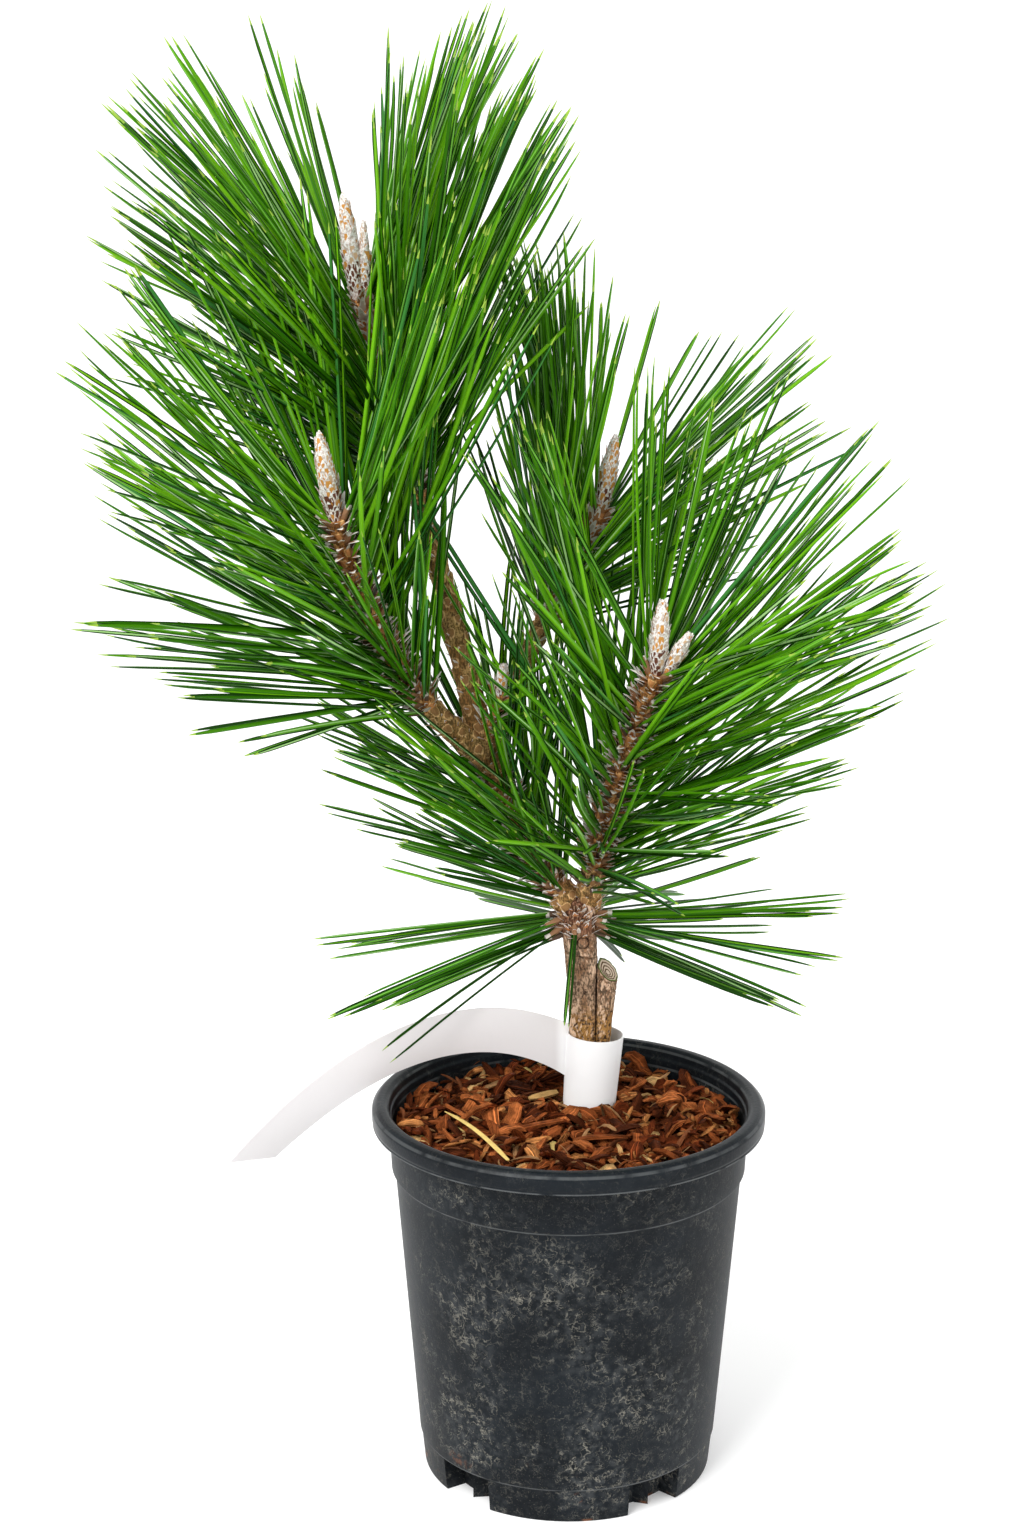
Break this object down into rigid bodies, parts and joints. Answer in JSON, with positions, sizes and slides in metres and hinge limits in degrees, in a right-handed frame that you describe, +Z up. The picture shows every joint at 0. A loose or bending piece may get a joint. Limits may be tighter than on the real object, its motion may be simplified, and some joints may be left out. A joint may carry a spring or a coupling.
{
  "type": "potted japanese black pine",
  "caption": "Young Japanese black pine with upright tufts of long paired needles, in a round black nursery pot with a blank strap label round its foot.",
  "frame": {"origin": "middle of the pot's flat underside, on the pot's axis", "axes": "+Z up through the pot's axis, -Y towards the front, +X to the right of the front view"},
  "size_m": [0.342, 0.2876, 0.6099],
  "materials": {
    "pot": "moulded black plastic, scuffed, with a smoother rim",
    "potting_mix": "red-brown bark chips",
    "bark": "flaky grey-brown bark, orange-brown on the young shoots",
    "label": "blank white plastic strap",
    "needles": "satin green needles with pale tips, and buds with white-fringed scales"
  },
  "bodies": {
    "root": {"pot": "pot", "potting_mix": "potting_mix", "trunk": "bark", "bough_leader": "bark", "bough_top": "bark", "bough_left": "bark", "bough_middle": "bark", "bough_right": "bark", "label_collar": "label", "label_tail": "label", "needles_top": "needles", "needles_left": "needles", "needles_middle": "needles", "needles_short": "needles", "needles_right": "needles", "needles_leader": "needles", "needles_fork": "needles"}
  },
  "joints": []
}
